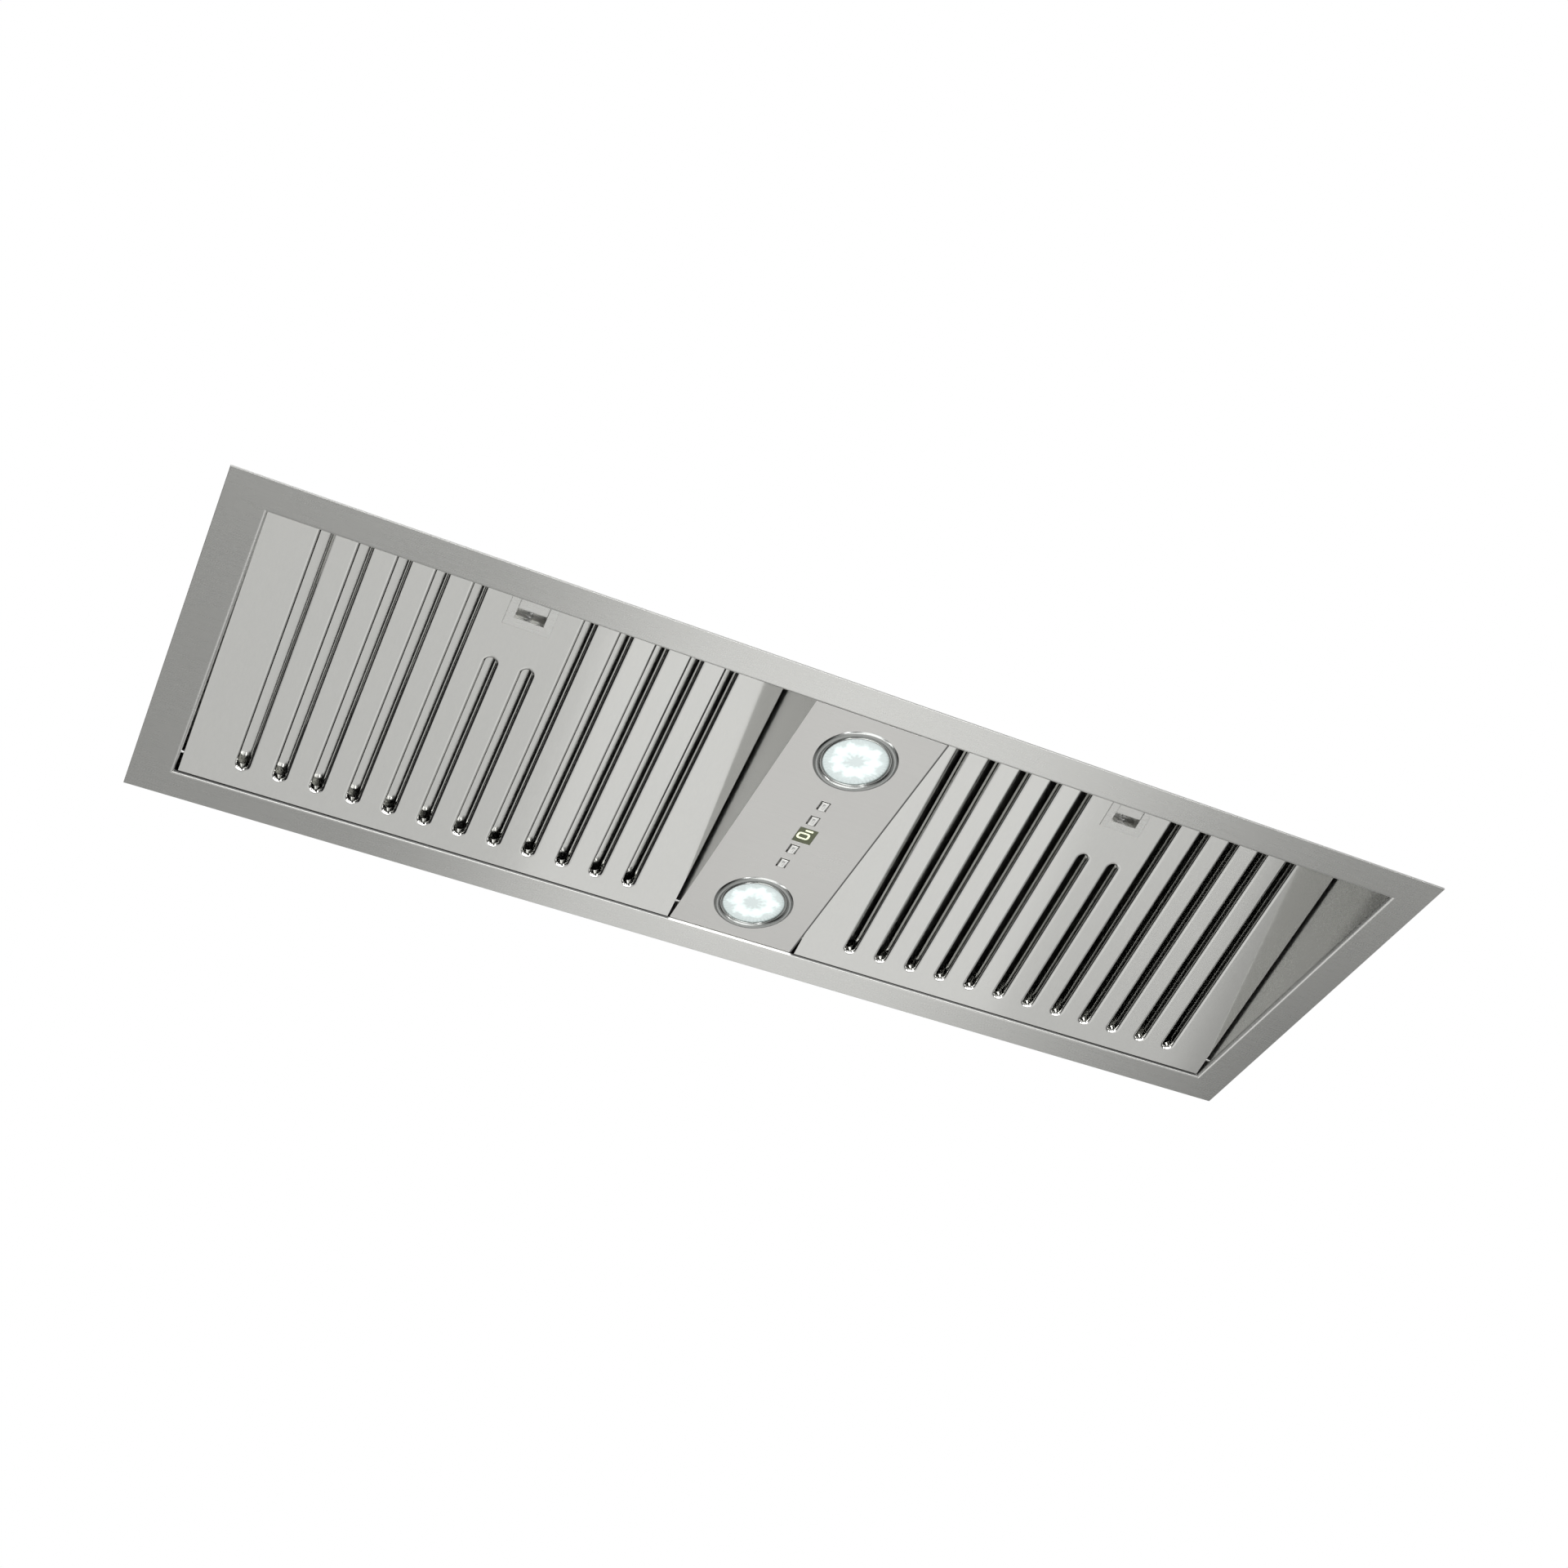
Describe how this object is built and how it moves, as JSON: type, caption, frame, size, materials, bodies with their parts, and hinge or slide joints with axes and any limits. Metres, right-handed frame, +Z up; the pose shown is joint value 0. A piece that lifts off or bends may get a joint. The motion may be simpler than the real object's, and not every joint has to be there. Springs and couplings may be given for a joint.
{
  "type": "undermount range hood",
  "caption": "Undermount range hood with a sheet steel flange, sloped slotted baffle filters, a console with lamps and buttons, and a boxed blower under a round duct collar.",
  "frame": {"origin": "centre of the flange, on its lower face", "axes": "+X along the flange to the right as the cook sees it, +Y to the back (the wall), +Z up towards the duct"},
  "size_m": [0.86, 0.29, 0.324],
  "materials": {
    "brushed_steel": "fine brushed stainless steel",
    "filter_steel": "bright annealed stainless steel",
    "latch_steel": "satin stainless steel",
    "button_metal": "satin plated",
    "bright_steel": "zinc plated",
    "galvanised_steel": "hot dipped galvanised",
    "motor_can": "satin grey",
    "hub_brass": "turned",
    "blower_plastic": "moulded flame-retardant plastic",
    "black_plastic": "moulded",
    "grommet_rubber": "soft",
    "board_green": "solder mask",
    "white_plastic": "moulded",
    "lamp_chrome": "polished",
    "lamp_glass": "clear with frosted rings",
    "lamp_leds": "white light diodes, lit",
    "heat_sink": "die cast",
    "display_lens": "smoked window"
  },
  "bodies": {
    "housing": {"face_frame": "brushed_steel", "roof_plate": "galvanised_steel", "console_cover": "brushed_steel", "catch_rails": "brushed_steel", "motor_box": "galvanised_steel", "scroll_housing": "blower_plastic", "inlet_rings": "blower_plastic", "blower_motor": "motor_can", "motor_bracket": "galvanised_steel", "outlet_collar": "galvanised_steel", "flap_rod": "bright_steel", "control_tray": "galvanised_steel", "control_lid": "galvanised_steel", "control_board": "board_green", "run_capacitor": "white_plastic", "terminal_block": "white_plastic", "cable_gland": "black_plastic", "lead_grommets": "grommet_rubber", "lamp_lead": "grommet_rubber", "motor_lead": "grommet_rubber", "front_lamp_bezel": "lamp_chrome", "front_lamp_glass": "lamp_glass", "front_lamp_leds": "lamp_leds", "front_lamp_body": "heat_sink", "rear_lamp_bezel": "lamp_chrome", "rear_lamp_glass": "lamp_glass", "rear_lamp_leds": "lamp_leds", "rear_lamp_body": "heat_sink", "lamp_springs": "bright_steel", "switch_board": "board_green", "key_switches": "black_plastic", "display_module": "black_plastic", "display_window": "display_lens", "roof_screws": "bright_steel", "box_screws": "bright_steel", "collar_screws": "bright_steel", "bracket_screws": "bright_steel"},
    "left_filter": {"left_filter_face": "filter_steel", "left_filter_back": "filter_steel", "left_pivot_pins": "bright_steel", "left_latch_housing": "latch_steel", "left_latch_spring": "bright_steel"},
    "right_filter": {"right_filter_face": "filter_steel", "right_filter_back": "filter_steel", "right_pivot_pins": "bright_steel", "right_latch_housing": "latch_steel", "right_latch_spring": "bright_steel"},
    "left_latch": {"left_latch": "latch_steel"},
    "right_latch": {"right_latch": "latch_steel"},
    "blower_rotor": {"blower_wheel": "galvanised_steel", "wheel_hub": "hub_brass", "motor_shaft": "bright_steel"},
    "front_flap": {"front_flap": "galvanised_steel"},
    "rear_flap": {"rear_flap": "galvanised_steel"},
    "power_button": {"power_button": "button_metal"},
    "slower_button": {"slower_button": "button_metal"},
    "faster_button": {"faster_button": "button_metal"},
    "light_button": {"light_button": "button_metal"}
  },
  "joints": [
    {"name": "left_filter_swing", "type": "hinge", "parent": "housing", "child": "left_filter", "pos_m": [-0.225, 0.10547, 0.00636], "axis": [1, 0, 0], "range_deg": [0, 105]},
    {"name": "left_latch_slide", "type": "slide", "parent": "left_filter", "child": "left_latch", "axis": [0, 0.9636, -0.2672], "range_m": [0, 0.008], "stiffness_N_per_m": 300, "deforming": ["left_latch_spring"]},
    {"name": "right_filter_swing", "type": "hinge", "parent": "housing", "child": "right_filter", "pos_m": [0.225, 0.10547, 0.00636], "axis": [1, 0, 0], "range_deg": [0, 105]},
    {"name": "right_latch_slide", "type": "slide", "parent": "right_filter", "child": "right_latch", "axis": [0, 0.9636, -0.2672], "range_m": [0, 0.008], "stiffness_N_per_m": 300, "deforming": ["right_latch_spring"]},
    {"name": "rotor_spin", "type": "hinge", "parent": "housing", "child": "blower_rotor", "pos_m": [0, -0.04818, 0.17303], "axis": [1, 0, 0], "continuous": true},
    {"name": "front_flap_swing", "type": "hinge", "parent": "housing", "child": "front_flap", "pos_m": [0, 0, 0.289], "axis": [-1, 0, 0], "range_deg": [0, 75]},
    {"name": "rear_flap_swing", "type": "hinge", "parent": "housing", "child": "rear_flap", "pos_m": [0, 0, 0.289], "axis": [1, 0, 0], "range_deg": [0, 75]},
    {"name": "power_button_press", "type": "slide", "parent": "housing", "child": "power_button", "axis": [0, 0, 1], "range_m": [0, 0.0012], "stiffness_N_per_m": 120},
    {"name": "slower_button_press", "type": "slide", "parent": "housing", "child": "slower_button", "axis": [0, 0, 1], "range_m": [0, 0.0012], "stiffness_N_per_m": 120},
    {"name": "faster_button_press", "type": "slide", "parent": "housing", "child": "faster_button", "axis": [0, 0, 1], "range_m": [0, 0.0012], "stiffness_N_per_m": 120},
    {"name": "light_button_press", "type": "slide", "parent": "housing", "child": "light_button", "axis": [0, 0, 1], "range_m": [0, 0.0012], "stiffness_N_per_m": 120}
  ]
}
